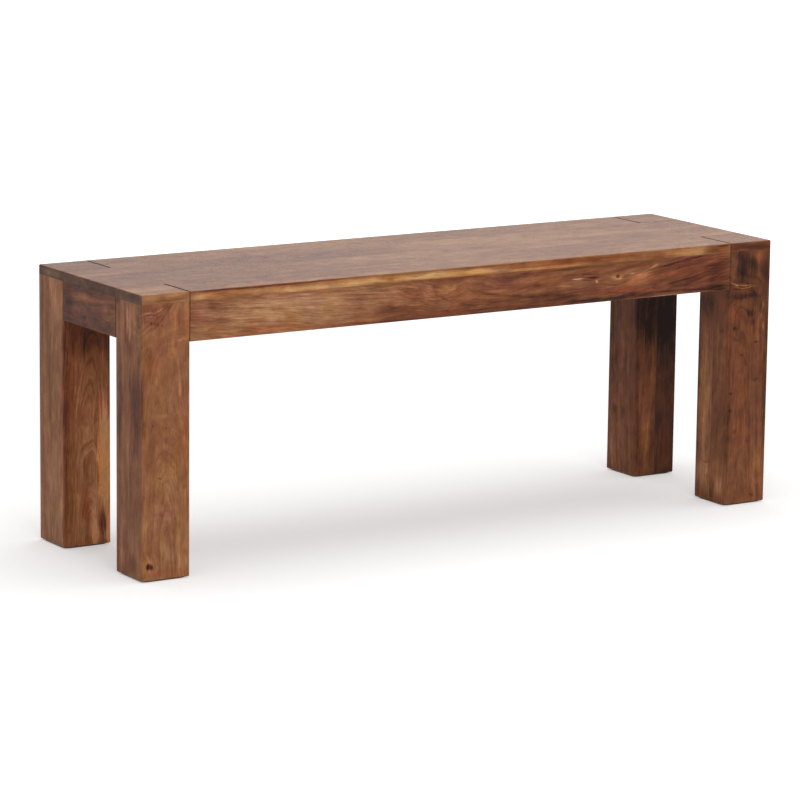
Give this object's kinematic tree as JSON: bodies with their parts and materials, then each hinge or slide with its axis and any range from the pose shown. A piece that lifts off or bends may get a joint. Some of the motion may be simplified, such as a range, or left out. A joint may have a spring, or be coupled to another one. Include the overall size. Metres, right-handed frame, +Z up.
{
  "type": "wooden bench",
  "caption": "Plain solid hardwood bench: square legs at the corners, flush rails and a thin seat board with corner blocks set flush over the legs.",
  "frame": {"origin": "on the floor, under the middle of the bench", "axes": "+X along the bench to the right, +Y to the back, +Z up"},
  "size_m": [1.2, 0.345, 0.45],
  "materials": {
    "seat_wood": "satin lacquer, grain along the bench",
    "cap_wood": "satin lacquer, grain along the bench",
    "leg_wood": "satin lacquer, grain upright",
    "rail_wood": "satin lacquer, grain along the rail",
    "batten_wood": "sanded and left bare",
    "dowel_wood": "bare",
    "screw_steel": "zinc plated",
    "foot_felt": "pressed felt"
  },
  "bodies": {
    "root": {"back_rail": "rail_wood", "batten_screws": "screw_steel", "cap_dowels": "dowel_wood", "corner_cap_back_left": "cap_wood", "corner_cap_back_right": "cap_wood", "corner_cap_front_left": "cap_wood", "corner_cap_front_right": "cap_wood", "foot_pad_back_left": "foot_felt", "foot_pad_back_right": "foot_felt", "foot_pad_front_left": "foot_felt", "foot_pad_front_right": "foot_felt", "front_rail": "rail_wood", "left_batten": "batten_wood", "left_end_rail": "rail_wood", "leg_back_left_back_board": "leg_wood", "leg_back_left_front_board": "leg_wood", "leg_back_right_left_board": "leg_wood", "leg_back_right_right_board": "leg_wood", "leg_front_left_back_board": "leg_wood", "leg_front_left_front_board": "leg_wood", "leg_front_right_back_board": "leg_wood", "leg_front_right_front_board": "leg_wood", "right_batten": "batten_wood", "right_end_rail": "rail_wood", "seat_back_stave": "seat_wood", "seat_front_stave": "seat_wood", "seat_inner_back_stave": "seat_wood", "seat_inner_front_stave": "seat_wood"}
  },
  "joints": []
}
